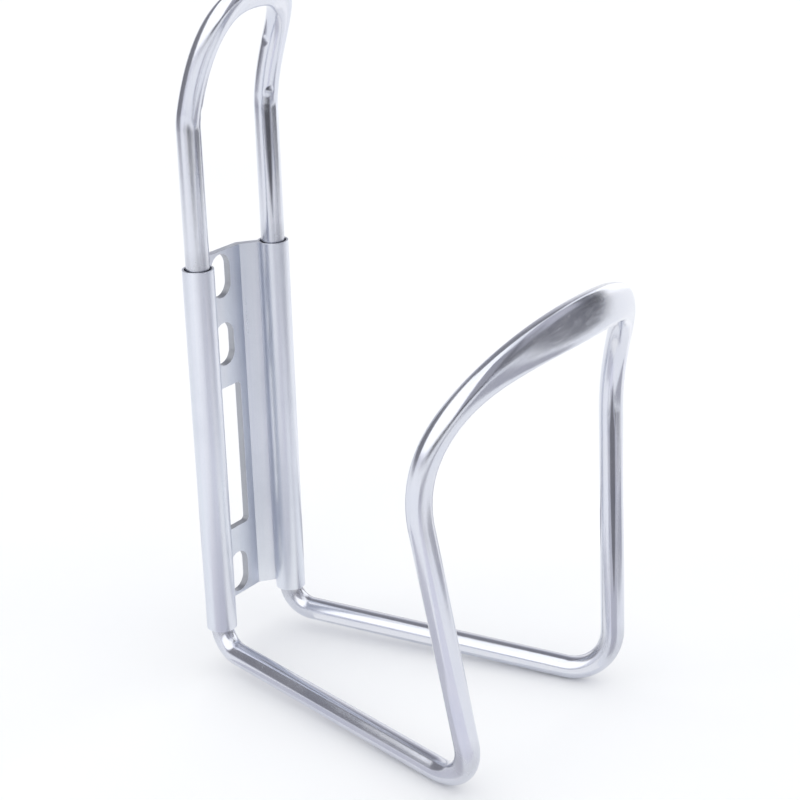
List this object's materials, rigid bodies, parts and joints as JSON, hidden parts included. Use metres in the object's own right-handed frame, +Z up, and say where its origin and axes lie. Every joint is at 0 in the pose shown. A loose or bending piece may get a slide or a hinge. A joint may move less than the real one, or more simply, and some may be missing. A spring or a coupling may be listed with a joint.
{
  "type": "bottle cage",
  "caption": "Bent aluminium rod bottle cage with a slotted extruded bracket, an upper hoop and a lower cradle with a pressed front band.",
  "frame": {"origin": "on the mounting face, at the middle of the long bolt spacing", "axes": "+Z up along the bracket's tubes, +X from the bicycle frame towards the bottle, +Y sideways"},
  "size_m": [0.0844, 0.069, 0.1382],
  "materials": {
    "bracket": "satin",
    "rod_upper": "polished",
    "rod_lower": "polished"
  },
  "bodies": {
    "root": {"mounting_bracket": "bracket", "upper_hoop": "rod_upper", "lower_cradle": "rod_lower"}
  },
  "joints": []
}
